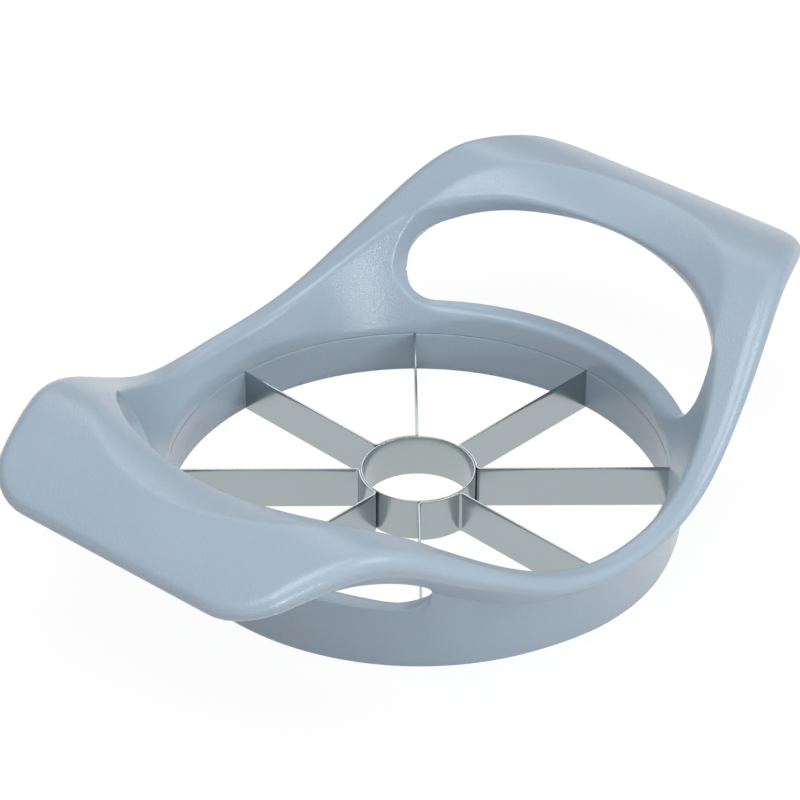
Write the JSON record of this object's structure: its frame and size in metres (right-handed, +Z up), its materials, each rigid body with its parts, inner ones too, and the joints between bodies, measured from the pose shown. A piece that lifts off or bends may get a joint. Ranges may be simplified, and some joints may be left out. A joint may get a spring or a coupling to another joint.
{
  "type": "apple slicer and corer",
  "caption": "Hand-pressed apple slicer: plastic ring with two raised wing handles and finger openings, folded steel blades and a steel core ring.",
  "frame": {"origin": "centre of the ring, in the plane of its bottom rim on the table", "axes": "+X towards one handle, +Y across to a side rim, +Z up through the ring towards the fruit"},
  "size_m": [0.1716, 0.1142, 0.042],
  "materials": {
    "plastic": "fine satin grain",
    "blade_steel": "rolled strip, cut edges",
    "core_steel": "rolled strip, welded seam"
  },
  "bodies": {
    "root": {"frame": "plastic", "core_ring": "core_steel", "blade_pair_1": "blade_steel", "blade_pair_2": "blade_steel", "blade_pair_3": "blade_steel", "blade_pair_4": "blade_steel"}
  },
  "joints": []
}
